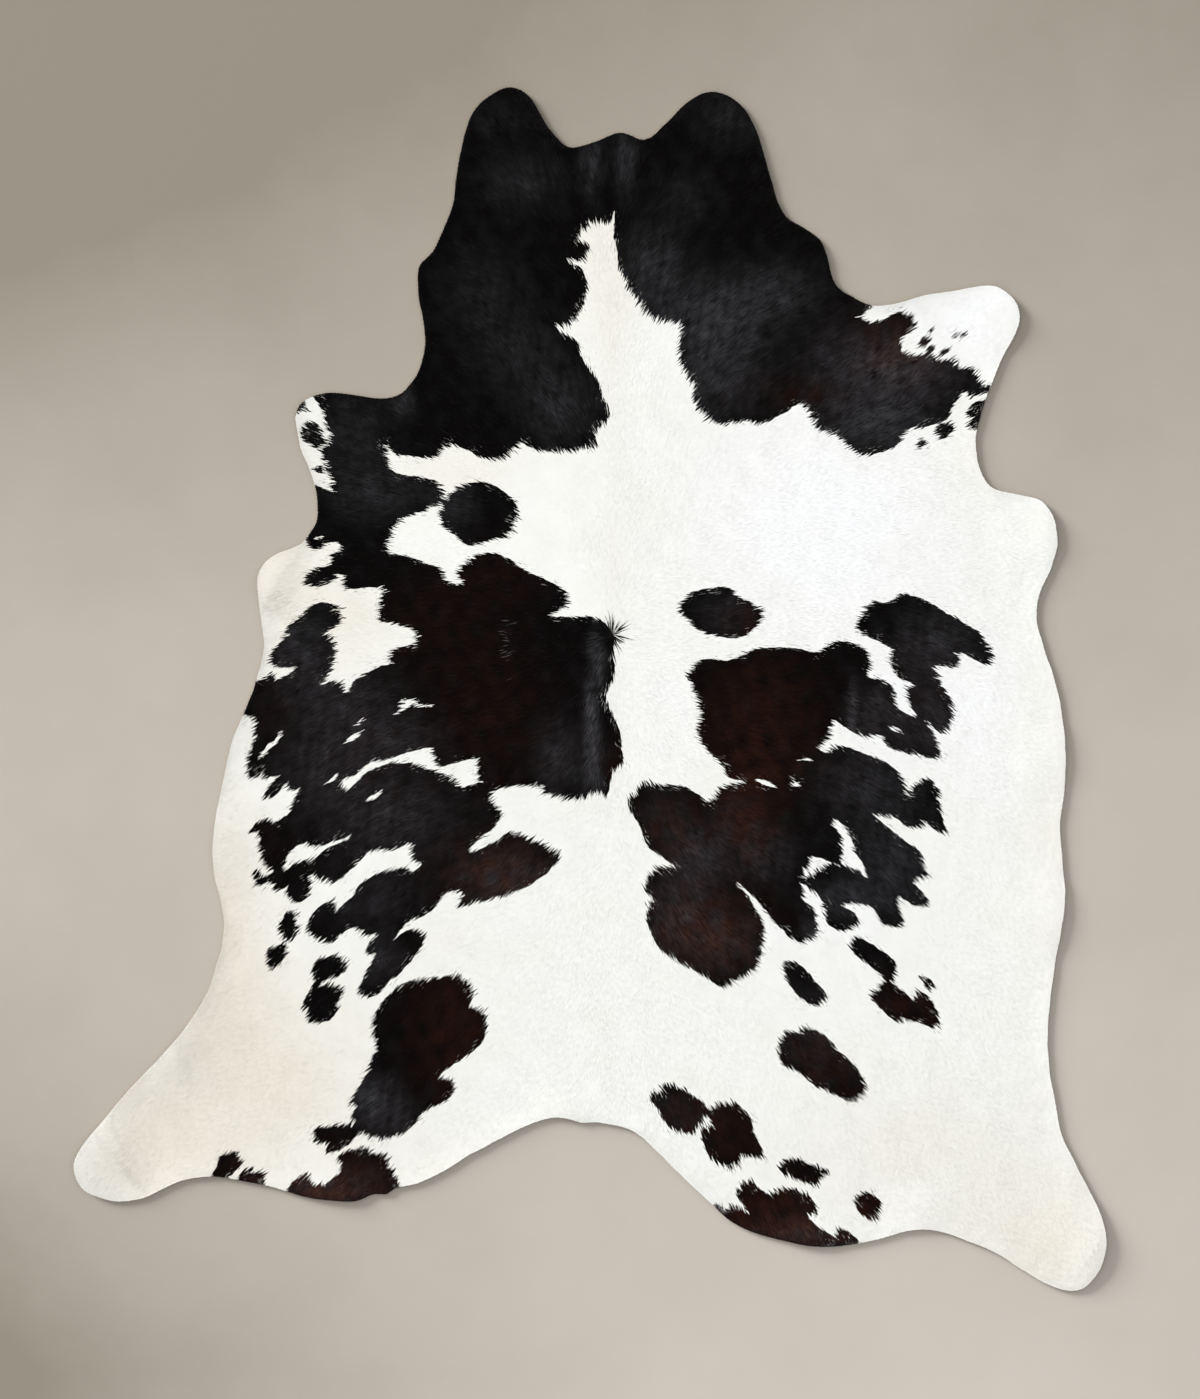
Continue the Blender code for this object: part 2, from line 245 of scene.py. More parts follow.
BLACK_SIDE = {
    "right back": (
        (18.3, 2.4), (21.1, 5.4), (25.7, 5.2), (29.8, 6.8), (33.9, 7.6), (38.7, 7.3), (42.4, 6.5),
        (45.3, 8.5), (49, 8.3), (51.5, 7), (52.1, 4.6), (51.8, 2), (54.8, 1.5), (56.6, -1),
        (56.8, -3.7), (60.6, -5.3)),
    "right flank hook": (
        (59.4, -2.8), (58.9, -0.6), (60, 0.9), (57.6, 2), (56.2, 3.9), (55.9, 5.4), (56, 7.4),
        (50.7, 10.2), (49.8, 11.8), (52.2, 15.9), (54.8, 15.9), (58.1, 17.4), (61.1, 16.8),
        (66.1, 13.9), (71.8, 10.6), (74.7, 6.5), (74, 4.4), (71.1, 5.5), (68.6, 6.6), (68, 3.9),
        (64.2, 4.1), (66, -0.6), (67.2, -2.8), (67.3, -5.4), (65.7, -8.5), (63.8, -7.2),
        (62.2, -5.6)),
    "right flank": (
        (63.8, -8.6), (64.9, -12.9), (61, -12.2), (56.9, -11.6), (54.3, -9.6), (54.1, -8.6),
        (49.9, -8.6), (45.4, -5.9), (44.6, -8.8), (42.7, -10.9), (43.7, -11.9), (46.2, -10.7),
        (51.5, -12.3), (55.8, -14.3), (58.3, -17.2), (58.9, -20), (60.1, -18), (62.8, -16.8),
        (65, -19.4), (64.7, -20.9), (65.6, -24.8), (66.1, -27.1), (62.8, -25.2), (62.1, -23),
        (61.7, -25.5), (58.7, -25.5), (56.6, -23.9), (52.7, -23.7), (54.3, -24.9), (57.8, -27.9),
        (61.3, -30.5)),
    "right stifle": (
        (62.1, -33.5), (62.9, -34.7), (60.2, -35.9), (61.2, -37.4), (62.9, -39.8), (60.4, -40.3),
        (57.1, -38.6), (58.1, -43.3), (57.1, -44.2), (54.3, -43.5), (52.6, -40.7), (49.3, -39.8),
        (46.3, -40.4), (48.8, -41.3), (49.8, -43.3), (47.2, -45), (44, -43.3), (43.7, -41),
        (43.3, -39.2), (40, -36.4), (38.8, -35.8), (40, -37.9), (39.6, -39.2), (41.4, -40.7),
        (42.3, -42.9), (41.7, -45.9), (38.6, -47), (36.3, -45.1), (33.5, -42.2), (30.9, -38.9),
        (26.4, -35), (29, -38.1), (31, -41.2), (32.2, -43.8), (32.2, -47.3), (31.1, -50.9)),
    "right haunch": (
        (29.8, -52.5), (26.5, -54.6), (24.2, -55), (21.3, -53.3), (16.1, -50.4), (12.8, -47.9),
        (10.8, -43.5), (10.8, -40.7), (11.9, -38.8), (10.2, -37.2), (11.9, -33.9), (13.9, -33.1),
        (16.3, -33.2), (13.9, -31.6), (10.9, -29.2), (9.5, -25.5), (7, -21.5), (8.9, -19.3),
        (10, -17.8), (13.2, -18), (17.6, -18.1), (22, -21), (23.5, -20), (25.4, -18.1),
        (29.8, -17.2)),
    "right loin": (
        (25.9, -16.4), (24.8, -14.1), (22, -11.3), (20.1, -7.8), (20.9, -5), (19.8, -1.3),
        (19.2, 0.9)),
}
WHITE_ISLANDS = {
    "left armpit streak": ((-51.4, 27.5), (-50.1, 28.9), (-50.3, 27.9)),
    "left stifle": (
        (-56.9, -33.9), (-55.9, -30.5), (-53.7, -28.7), (-50.6, -29.3), (-46, -27.6),
        (-44.4, -27.7), (-48.8, -29.7), (-51.3, -31.8), (-53.9, -32.1)),
    "left flank streak": (
        (-56.9, -6.6), (-58.2, -9.1), (-60.2, -10.8), (-61.4, -13.2), (-59.3, -11.2),
        (-57.6, -9.6)),
    "left side streak": (
        (-35.5, -1.9), (-33.3, -2), (-31.8, -2.8), (-29.2, -3), (-30.9, -3.6), (-33.1, -3),
        (-36.1, -4.9), (-35.3, -2.8)),
    "left side tick": ((-42.2, -7.7), (-44.2, -8.5), (-46.1, -10.6), (-43.8, -9.5)),
    "left side": (
        (-33.1, -11.5), (-29.6, -11.1), (-28.4, -14.2), (-24.4, -13.5), (-21.4, -12.9),
        (-21, -15.7), (-20.6, -17.3), (-24.2, -18.3), (-26.4, -16.1), (-29.6, -15.3),
        (-33.3, -13.9), (-37.5, -14.1), (-41.4, -15.6), (-44.7, -18.7), (-46.3, -17.4),
        (-43.1, -15.6), (-41, -13.4), (-39.4, -13.4), (-36.8, -12.8)),
    "left loin streak": ((-47.3, -16), (-48.8, -17.2), (-48.5, -17.6), (-47, -16.5)),
    "left side dash": ((-42.6, -5.4), (-43.5, -6.9), (-43, -7), (-42.2, -5.7)),
    "left loin tick": ((-39.2, -19.3), (-41.3, -20.1), (-41.4, -20.9), (-39.6, -20.4)),
    "right stifle": (
        (39.4, -34.8), (40.8, -32.7), (41.3, -31), (43.8, -31.8), (46.2, -32.4), (46.9, -28.1),
        (45.3, -25.9), (45.4, -24.3), (47.2, -25.2), (48.3, -27.6), (49.3, -29.8), (51.4, -34),
        (50.8, -34.8), (48.6, -33.2), (44.2, -32.5), (42, -34.2), (39.9, -35.2)),
    "right flank spot": ((55.8, -7.1), (57.4, -7.2), (57.9, -7.9), (56.2, -8.2)),
    "right side tick": ((39.4, -12.8), (41.3, -12.7), (41.1, -13.3), (39.5, -13.4)),
    "right loin ticks": ((31, -16.9), (33.2, -16.9), (34.6, -18.3), (32, -17.8)),
    "right loin tick": ((37.4, -17.4), (38.5, -17.2), (39.1, -18.2), (37.9, -18.1)),
}
BLACK_PATCHES = {
    "left shoulder spot": (
        (-25.9, 36.3), (-23.5, 37.9), (-20, 38.2), (-16.8, 37), (-13.5, 33.8), (-14.4, 30.9),
        (-15.2, 28.8), (-19.4, 27.3), (-22.8, 26.8), (-25, 28.5), (-27.6, 30.3), (-27.9, 33.3)),
    "right side spot": (
        (16.8, 14.6), (18.3, 17.2), (21.6, 18.5), (25.7, 18.6), (27.9, 16.8), (30.9, 15.5),
        (32.2, 13.9), (30.2, 10.7), (26.8, 9.4), (23.5, 10), (19.8, 11.3), (18.4, 13.2)),
    "left foreleg rim": ((-53.9, 53.6), (-52.6, 52.7), (-53.6, 51.2), (-56, 51)),
    "left foreleg": (
        (-52.3, 49.4), (-50.8, 49), (-49.5, 46.4), (-50.3, 44.6), (-52.1, 45.3), (-53.3, 46.4),
        (-53.2, 48.3)),
    "left elbow": ((-51.2, 40.7), (-50.5, 41.3), (-49.6, 40.9), (-50.1, 40.1)),
    "right foreleg rim": (
        (71.2, 52.9), (75, 53.2), (74.6, 48.5), (71.1, 47.9), (70.3, 49.4), (71.1, 50.1),
        (69.9, 51)),
    "right armpit": ((64, 48.3), (66.4, 49.6), (67.8, 48.8), (67.1, 47.3), (65.3, 46.4)),
    "right armpit tick": ((61.2, 46.4), (62.5, 45.7), (61.1, 44.4)),
    "left stifle oval": (
        (-55.4, -41.3), (-54.7, -42), (-54.5, -43.6), (-54.2, -45), (-55.6, -46.9), (-57.4, -45.7),
        (-57.9, -44.3), (-56.9, -42.3)),
    "left shank oval": (
        (-59.5, -48.1), (-57.8, -47.7), (-56.5, -47), (-56.5, -49.2), (-57.6, -51.2), (-59, -52),
        (-60.1, -51.2), (-59.9, -49.2)),
    "left thigh": (
        (-48.1, -49.7), (-45.7, -50.1), (-45, -51.8), (-46.8, -53.3), (-49.5, -54), (-51.2, -53.7),
        (-51.5, -52), (-50.6, -50.4)),
    "left thigh below": (
        (-50.6, -54), (-49.5, -55.1), (-46.2, -55.4), (-46.7, -58), (-47.1, -60), (-49.5, -61.8),
        (-52.3, -61.7), (-52.4, -59.8), (-53.3, -59.2), (-52.1, -56.1)),
    "left rump rim": (
        (-68, -86.2), (-66.1, -86), (-64.6, -87.4), (-65.8, -89.2), (-67.1, -90.6), (-70, -91.5),
        (-69.4, -88.6), (-68.7, -86.9)),
    "left rump rim below": (
        (-65, -90.5), (-63.9, -89), (-62.4, -89.6), (-60.4, -90.1), (-61, -94.5), (-65, -94)),
    "left rump brown": (
        (-56.3, -93.2), (-54.3, -90.7), (-53, -89.7), (-51.7, -91.4), (-49.5, -92.1),
        (-47.3, -90.3), (-45.9, -89), (-46.7, -86.8), (-42.5, -85), (-39.9, -86.2), (-37.7, -87.1),
        (-37.4, -88.6), (-36.2, -90.1), (-36, -96), (-56, -97)),
    "left rump spot": (
        (-51.2, -81.6), (-48.9, -81.1), (-44.4, -80.9), (-43.3, -82.2), (-44.9, -84.4),
        (-48.7, -86), (-48.9, -84.4), (-51.2, -83.6)),
    "left rump": (
        (-33.8, -54.2), (-28.3, -53.7), (-25.7, -53.1), (-22.7, -54.6), (-21.8, -57.2),
        (-22.4, -58.5), (-19.6, -60.4), (-19.6, -64.1), (-22.1, -67.4), (-26.1, -70), (-28.3, -72),
        (-26.3, -72.2), (-25.2, -74.2), (-27.4, -76.8), (-31.3, -78.5), (-32.4, -80.7),
        (-36.1, -83), (-40.3, -83.2), (-43.1, -82), (-44.1, -79), (-43.3, -77.2), (-44.6, -76.5),
        (-42.4, -73.1), (-41.1, -70), (-39.6, -66.5), (-40.4, -62), (-38.7, -58.3),
        (-36.2, -55.9)),
    "right thigh": (
        (49.7, -46.1), (53, -47.9), (56.2, -50.3), (56.7, -52.7), (55.5, -54.6), (53.4, -52.3),
        (50.1, -50.1), (48.4, -47.7)),
    "right shank tick": (
        (61.3, -53.5), (62.6, -53.5), (63.9, -55.3), (62.8, -55.9), (61.7, -54.2)),
    "right shank": (
        (55.1, -54.4), (57.7, -55.7), (60.1, -57.9), (61, -56.1), (63, -57.4), (64.6, -60.9),
        (64, -63), (61.7, -61.9), (58.4, -61.1), (57.6, -62), (54.3, -59.6), (52.6, -57.4),
        (53.6, -55.7)),
    "right haunch spot": (
        (36.4, -50.5), (39.2, -51.4), (41.8, -54.4), (43.8, -56.5), (42.9, -58.5), (40.1, -58.1),
        (37.4, -55.3), (36.1, -52.5)),
    "right rump": (
        (36.4, -63.7), (38.8, -63.7), (39.6, -62.8), (43.1, -64), (46.8, -67.6), (49.7, -70.7),
        (51.2, -73.9), (49, -76.3), (44.9, -75), (41.2, -73.1), (38.5, -71.1), (35.5, -69.2),
        (35.3, -66.1)),
    "tail head left": (
        (11.3, -75.3), (13.2, -74.8), (13.9, -73.5), (17.2, -74.3), (20.6, -76.3), (21.8, -78.6),
        (20.7, -80.5), (19.4, -82.2), (17, -82.2), (14.5, -81.1), (13, -78.5)),
    "tail head right": (
        (22, -77.9), (26.3, -76.8), (29.6, -79), (30.3, -82), (32.4, -86.8), (28.5, -86.6),
        (27.2, -88.5), (24.2, -88.3), (21.8, -85.9), (20.6, -81.6), (22.9, -81.1), (21.8, -78.7)),
    "right rump spot": (
        (35.1, -88.3), (37.6, -87), (41.1, -88.3), (44.6, -89.6), (42.6, -90.4), (42.3, -92.2),
        (38.7, -90.9), (35.7, -89.7)),
    "right rump brown": (
        (22.8, -95.5), (25.3, -96.4), (26.5, -95.7), (29.6, -97.1), (27.4, -93.7), (29.6, -91.1),
        (33, -93.8), (36.3, -92.5), (40.5, -94.1), (42.5, -97), (40.2, -97.5), (42.7, -99.9),
        (46.1, -102.7), (44, -106), (20, -99)),
    "right rump rim": ((46.3, -100), (49.1, -101.5), (49.8, -104), (46.6, -105), (45.9, -101.4)),
    "right rump oval": (
        (49.5, -94.2), (51.5, -93.4), (53.9, -95.1), (53.2, -98.1), (51.2, -98.1), (49.5, -96)),
}
BLACK_SPREAD = 1.0 * MM        # how far black hair reaches over the white beside it
CURVE_PIECES = 4               # between each two points of a marking
# Small ticks of black hair on the right foreleg. Columns: across, along, long, wide, turned.
FORELEG_TICKS = (
    (62.0, 64.4, 2.6, 1.6, 40), (63.0, 62.9, 1.8, 1.0, 40), (63.3, 66.5, 1.2, 0.5, 35),
    (65.7, 62.5, 2.2, 0.9, 35), (68.0, 65.7, 1.2, 0.8, 20), (69.4, 65.8, 1.3, 0.6, 30))


def tick_loop(across, along, long, wide, turned):
    """The outline of a small oval tick of hair."""
    turn = math.radians(turned)
    around = np.linspace(0.0, 2.0 * math.pi, 8, endpoint=False)
    out, side = 0.5 * long * np.cos(around), 0.5 * wide * np.sin(around)
    return [(across + u * math.cos(turn) - v * math.sin(turn),
             along + u * math.sin(turn) + v * math.cos(turn)) for u, v in zip(out, side)]


black_loops = [[p for run in coat.values() for p in run] for coat in (BLACK_COAT, BLACK_SIDE)]
black_loops += [*BLACK_PATCHES.values(), *(tick_loop(*row) for row in FORELEG_TICKS)]


def in_markings(places, loops, spread):
    """Whether each place is in one of the loops, once each is rounded and spread by so much."""
    inside = np.zeros(len(places), dtype=bool)
    for loop in loops:
        outline = round_curve(loop, CURVE_PIECES) * CM
        left = left_of(outline)
        outward = np.sign(np.sum(left * (outline - outline.mean(axis=0)))) * left
        inside |= is_inside(places, outline + spread * outward)
    return inside


def is_black(places):
    """Whether the hair that shows at each place is black."""
    white = in_markings(places, WHITE_ISLANDS.values(), -BLACK_SPREAD)
    return in_markings(places, black_loops, BLACK_SPREAD) & ~white


# ---- The leather's two sides ------------------------------------------------------------------
# The flesh side is buffed to a pale nap, mottled where the hide was thin. The hair side shows
# only between the hairs, pale under white hair and slate under black.
NAP_PALE = (0.62, 0.55, 0.45, 1.0)
NAP_DEEP = (0.46, 0.38, 0.29, 1.0)
SKIN_PALE = (0.86, 0.86, 0.83, 1.0)
SKIN_CREAM = (0.77, 0.72, 0.62, 1.0)
SKIN_SLATE = (0.006, 0.005, 0.005, 1.0)


def fill(added, inputs):
    """Gives a node's inputs what they take: another node's output is joined, a value is set."""
    for key, value in inputs.items():
        if isinstance(value, bpy.types.NodeSocket):
            added.id_data.links.new(value, added.inputs[key])
        else:
            added.inputs[key].default_value = value


def adder(tree):
    """A short way to add a node to a tree, with its settings and inputs."""
    def node(kind, inputs=None, **settings):
        added = tree.nodes.new(kind)
        for key, value in settings.items():
            setattr(added, key, value)
        fill(added, inputs or {})
        return added
    return node


def new_material(name):
    """A material, its shader, and a short way to add nodes to it."""
    material = bpy.data.materials.new(name)
    material.use_nodes = True
    return material, material.node_tree.nodes["Principled BSDF"], adder(material.node_tree)


def blend_of(node, share, first, second):
    """One colour or number that goes from the first to the second as share goes from 0 to 1."""
    kind = "FLOAT" if isinstance(first, (int, float)) else "RGBA"
    mix = node("ShaderNodeMix", data_type=kind)
    wanted = {"Factor": share, "A": first, "B": second}
    for socket in mix.inputs:
        if socket.enabled and socket.name in wanted:
            value = wanted[socket.name]
            if isinstance(value, bpy.types.NodeSocket):
                mix.id_data.links.new(value, socket)
            else:
                socket.default_value = value
    return next(socket for socket in mix.outputs if socket.enabled)


def carry(mesh, name, values):
    """Gives each point of a mesh its own number or direction, under this name."""
    kind, field = ("FLOAT", "value") if values.ndim == 1 else ("FLOAT_VECTOR", "vector")
    values = values.astype(np.float32).ravel()
    mesh.attributes.new(name, kind, "POINT").data.foreach_set(field, values)


nap, shader, node = new_material("flesh side")
where = node("ShaderNodeTexCoord").outputs["Object"]
mottle = node("ShaderNodeTexNoise", {"Vector": where, "Scale": 9.0, "Detail": 6.0})
naps = node("ShaderNodeTexNoise", {"Vector": where, "Scale": 900.0, "Detail": 3.0})
raised = node("ShaderNodeBump", {"Height": naps.outputs["Fac"], "Strength": 0.4,
                                 "Distance": 0.4 * MM})
fill(shader, {"Base Color": blend_of(node, mottle.outputs["Fac"], NAP_DEEP, NAP_PALE),
              "Roughness": 0.92, "Specular IOR Level": 0.2, "Normal": raised.outputs["Normal"]})

pores, shader, node = new_material("hair side")
under_black = node("ShaderNodeAttribute", attribute_name="black").outputs["Fac"]
under_cream = node("ShaderNodeAttribute", attribute_name="cream").outputs["Fac"]
where = node("ShaderNodeTexCoord").outputs["Object"]
pore = node("ShaderNodeTexNoise", {"Vector": where, "Scale": 700.0, "Detail": 2.0})
pale = blend_of(node, under_cream, SKIN_PALE, SKIN_CREAM)
raised = node("ShaderNodeBump", {"Height": pore.outputs["Fac"], "Strength": 0.5,
                                 "Distance": 0.3 * MM})
fill(shader, {"Base Color": blend_of(node, under_black, pale, SKIN_SLATE), "Roughness": 0.8,
              "Specular IOR Level": 0.04, "Normal": raised.outputs["Normal"]})

carry(skin_mesh, "black", is_black(np.array([vert.co.xy for vert in skin_mesh.vertices])))
skin_mesh.materials.append(nap)
skin_mesh.materials.append(pores)
hair_side = skin.copy()
hair_side.data = skin_mesh.copy()
hair_side.data.transform(Matrix.Translation((0.0, 0.0, LEATHER)))
wall = skin.modifiers.new("leather", "SOLIDIFY")
wall.thickness = LEATHER
wall.offset = 1.0
wall.material_offset = 0
wall.material_offset_rim = 0


def make_plain(obj):
    """Keeps what an object's modifiers made of it as its mesh, and drops the modifiers."""
    bpy.context.view_layer.update()
    graph = bpy.context.evaluated_depsgraph_get()
    made = bpy.data.meshes.new_from_object(
        obj.evaluated_get(graph), preserve_all_data_layers=True, depsgraph=graph)
    obj.modifiers.clear()
    obj.data = made
    return made


made = make_plain(skin)
made.name = "skin"
for polygon in made.polygons:
    polygon.material_index = 1 if polygon.normal.z > 0.3 else 0
made.shade_smooth()
made.set_sharp_from_angle(angle=math.radians(40.0))
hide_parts("hide")
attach(skin, "root")

# ---- The lay of the hair ----------------------------------------------------------------------
# Hair grows out of the skin at a slant. It parts along the spine, runs down the sides and along
# the legs, and turns round a whorl between the shoulders, ahead of which it runs forwards.
SPINE = 3.5                    # where the parting lies, in cm across
PARTING = 3.0                  # how far out the hair has swung from the parting, in cm
WHORL = (4.1, 10.1)            # cm across and along
WHORL_REACH = 4.0              # how far round it the hair points away from it, in cm
LAY_REACH = 4.0                # how far the rows of the table blend, in cm
# The way the hair points at a distance out from the spine, in degrees up from straight out.
# Columns: out, along, points to.
LAY = (
    (0, 100, 90), (8, 100, 60), (20, 100, 40),
    (0, 80, 90), (6, 80, 50), (16, 78, 42), (30, 78, 32),
    (5, 68, 57), (14, 60, 45), (30, 66, 30), (42, 75, 28),
    (0, 55, 90), (10, 50, 50), (22, 50, 42), (40, 55, 35), (60, 62, 37), (75, 65, 40),
    (3, 44, 60), (14, 44, 42), (35, 44, 22),
    (0, 25, 88), (10, 33, 33), (25, 33, 15), (45, 30, 5), (60, 30, 0), (80, 25, -10),
    (8, 12, 10), (20, 14, 3), (40, 14, -5), (60, 10, -20), (80, 0, -35),
    (3, -2, -70), (8, -2, -30), (14, -3, -8), (30, -3, -12), (50, -5, -30), (60, -8, -35),
    (0, -15, -90), (4, -12, -60), (12, -15, -30), (30, -18, -20), (50, -18, -35),
    (0, -40, -90), (10, -35, -45), (25, -38, -38), (45, -38, -42), (62, -30, -42),
    (0, -65, -90), (12, -65, -55), (30, -65, -45), (45, -70, -42), (65, -70, -40),
    (0, -90, -90), (15, -90, -65), (35, -90, -55), (50, -95, -50), (85, -85, -45),
    (90, -105, -55))


def lay_of_hair(places):
    """The way the hair points at each place, as unit vectors on the flat."""
    out = places[:, 0] / CM - SPINE
    along = places[:, 1] / CM
    lay = np.zeros((len(places), 2))
    for row_out, row_along, points_to in LAY:
        away = (np.abs(out) - row_out) ** 2 + (along - row_along) ** 2
        near = 1.0 / (away + LAY_REACH ** 2) ** 2
        lay[:, 0] += near * math.cos(math.radians(points_to)) * np.clip(out / PARTING, -1.0, 1.0)
        lay[:, 1] += near * math.sin(math.radians(points_to))
    lay /= np.hypot(*lay.T)[:, None]
    from_whorl = places / CM - np.array(WHORL)
    away = np.hypot(*from_whorl.T)
    pull = np.exp(-(away / WHORL_REACH) ** 2)[:, None]
    lay = lay * (1.0 - pull) + from_whorl / (away[:, None] + 0.01) * pull
    return lay / np.hypot(*lay.T)[:, None]


# ---- The coat ---------------------------------------------------------------------------------
# Short summer hair, white and black, that lies close to the skin in small pointed locks, each
# over the roots of the next. The roots are scattered over the skin, and the locks on five
# stretches of the hide from head to rump are five pieces.
HAIR_LENGTH = 20.0 * MM
LOCK_WIDTH = 2.6 * MM
TIP_LIFT = (0.6, 1.5)          # mm, from the flattest locks to those that stand highest
ROOT_RISE = 0.12 * MM          # so that the whole lock lies on the skin
ROOT_SPACING = 2.3 * MM
COAT_PIECES = ("coat_head", "coat_shoulders", "coat_back", "coat_loin", "coat_rump")
MOST_LOCKS = len(COAT_PIECES) * 48_000    # four triangles each
SWAY = 9.0                     # degrees by which neighbouring locks swing together
SWAY_STEP = 35.0 * MM
STRAY = 6.0                    # degrees by which each lock swings on its own
LEAN = 3.0                     # degrees by which a lock tips to one side
OVERHANG = 1.2 * MM            # how far the hair reaches past the cut edge
TRIMMED_SHARE = 0.75           # of the way to the edge, which the trimmed locks cover
RIM_ZONE = 60.0 * MM           # how far in from the edge the rim still matters
SHOWN_AT = 0.75                # of a lock's length, where its colour is taken
RAGGED = 2.2 * MM              # how far whole tufts carry their colour over a marking's edge
RAGGED_STEP = 7.0 * MM
STRAY_HAIR = 1.2 * MM          # how far single locks carry it
WHORL_TUFT = 19.0 * MM         # reach of the long hair round the whorl
WHORL_LENGTH = 28.0 * MM
WHORL_SHARE = 0.5              # of the locks within reach, those that are long
WHORL_PULL = 0.6               # how far their roots are drawn in to the whorl
WHORL_THIN = 0.6               # of the width of other locks
WHORL_LIFT = (2.0, 6.0)        # mm
WHORL_BLACK = 0.98             # of the long locks, those that are black


def new_tree(name, *sockets):
    """A geometry tree, a short way to add nodes to it, its named inputs and its result."""
    tree = bpy.data.node_groups.new(name, "GeometryNodeTree")
    tree.interface.new_socket("Geometry", in_out="OUTPUT", socket_type="NodeSocketGeometry")
    tree.interface.new_socket("Geometry", in_out="INPUT", socket_type="NodeSocketGeometry")
    for label, kind in sockets:
        tree.interface.new_socket(label, in_out="INPUT", socket_type="NodeSocket" + kind)
    node = adder(tree)
    return tree, node, node("NodeGroupInput").outputs, node("NodeGroupOutput")


def run_tree(obj, tree, values):
    """Runs a tree on an object with these values for its inputs, and keeps the plain mesh."""
    modifier = obj.modifiers.new(tree.name, "NODES")
    modifier.node_group = tree
    for item in tree.interface.items_tree:
        if item.in_out == "INPUT" and item.name in values:
            modifier[item.identifier] = values[item.name]
    return make_plain(obj)


def read_rows(data, field):
    """The three numbers that each item of some mesh data has in this field."""
    rows = np.empty(3 * len(data), dtype=np.float32)
    data.foreach_get(field, rows)
    return rows.reshape(-1, 3).astype(float)


roots_tree, node, given, result = new_tree(
    "hair roots", ("Spacing", "Float"), ("Most per square metre", "Float"), ("Seed", "Int"))
scatter = node("GeometryNodeDistributePointsOnFaces", {
    "Mesh": given["Geometry"], "Distance Min": given["Spacing"],
    "Density Max": given["Most per square metre"], "Seed": given["Seed"]},
    distribute_method="POISSON")
kept_up = node("GeometryNodeStoreNamedAttribute", {
    "Geometry": scatter.outputs["Points"], "Name": "up", "Value": scatter.outputs["Normal"]},
    data_type="FLOAT_VECTOR", domain="POINT")
dots = node("GeometryNodePointsToVertices", {"Points": kept_up.outputs["Geometry"]})
fill(result, {"Geometry": dots.outputs["Mesh"]})

bpy.context.collection.objects.link(hair_side)
hair_side.name = "hair side"
roots_mesh = run_tree(hair_side, roots_tree, {
    "Spacing": ROOT_SPACING, "Most per square metre": 1.9 / ROOT_SPACING ** 2, "Seed": 4})
roots = read_rows(roots_mesh.vertices, "co")
up = read_rows(roots_mesh.attributes["up"].data, "vector")
bpy.data.objects.remove(hair_side, do_unlink=True)
keep = np.sort(np.random.default_rng(3).permutation(len(roots))[:MOST_LOCKS])
roots, up = roots[keep], up[keep]
count = len(roots)

draw = np.random.default_rng(2)
flat = roots[:, :2]
lay = lay_of_hair(flat)
swing = np.radians(SWAY * wander(flat, SWAY_STEP, 21) + draw.normal(0.0, STRAY, count))
lay = np.stack([lay[:, 0] * np.cos(swing) - lay[:, 1] * np.sin(swing),
                lay[:, 0] * np.sin(swing) + lay[:, 1] * np.cos(swing)], axis=1)

rim_tree = BVHTree.FromPolygons(
    [Vector((x, y, z)) for z in (-1.0, 1.0) for x, y in rim[:, :2]],
    [(i, (i + 1) % len(rim), len(rim) + (i + 1) % len(rim), len(rim) + i)
     for i in range(len(rim))])
to_rim = np.array([rim_tree.find_nearest(Vector((x, y, 0.0)), RIM_ZONE)[3] or RIM_ZONE
                   for x, y in flat])
length = HAIR_LENGTH * draw.uniform(0.8, 1.15, count)
length = np.minimum(length, OVERHANG + TRIMMED_SHARE * to_rim)
width = LOCK_WIDTH * draw.uniform(0.8, 1.2, count)
tip_lift = draw.uniform(*TIP_LIFT, count) * MM * np.minimum(length / HAIR_LENGTH, 1.0)
tip_lift *= 1.0 + 0.25 * wander(flat, 0.06, 31)

# The colour of a lock is that of the place where it shows, past the locks that cover its root.
shown = SHOWN_AT * length + RAGGED * wander(flat, RAGGED_STEP, 41)
shown += draw.normal(0.0, STRAY_HAIR, count)
black = is_black(flat + lay * shown[:, None]).astype(float)


def at_whorl(places):
    """Whether each place lies within reach of the whorl's long hair."""
    return np.hypot(*(places - np.array(WHORL) * CM).T) < WHORL_TUFT


# Round the whorl stands a tuft of longer, thinner black locks that spread like a star.
tuft = at_whorl(flat) & (draw.uniform(0.0, 1.0, count) < WHORL_SHARE)
tuft_size = int(tuft.sum())
roots[tuft, :2] = (1.0 - WHORL_PULL) * roots[tuft, :2] + WHORL_PULL * np.array(WHORL) * CM
length[tuft] = WHORL_LENGTH * draw.uniform(0.6, 1.4, tuft_size)
width[tuft] *= WHORL_THIN
tip_lift[tuft] = draw.uniform(*WHORL_LIFT, tuft_size) * MM
black[tuft] = draw.uniform(0.0, 1.0, tuft_size) < WHORL_BLACK
skin_places = np.array([vert.co.xy for vert in skin.data.vertices])
skin_black = skin.data.attributes["black"].data
for i in np.flatnonzero(at_whorl(skin_places)):
    skin_black[i].value = 1.0

ahead = np.column_stack([lay, np.zeros(count)])
ahead -= up * np.sum(ahead * up, axis=1)[:, None]
ahead /= np.linalg.norm(ahead, axis=1)[:, None]
direction = ahead + up * (tip_lift / length)[:, None]
side = np.cross(up, ahead)
lean = np.radians(draw.normal(0.0, LEAN, count))
face_up = up + side * np.tan(lean)[:, None]
evened_up = up + np.array([0.0, 0.0, 1.0])
evened_up /= np.linalg.norm(evened_up, axis=1)[:, None]
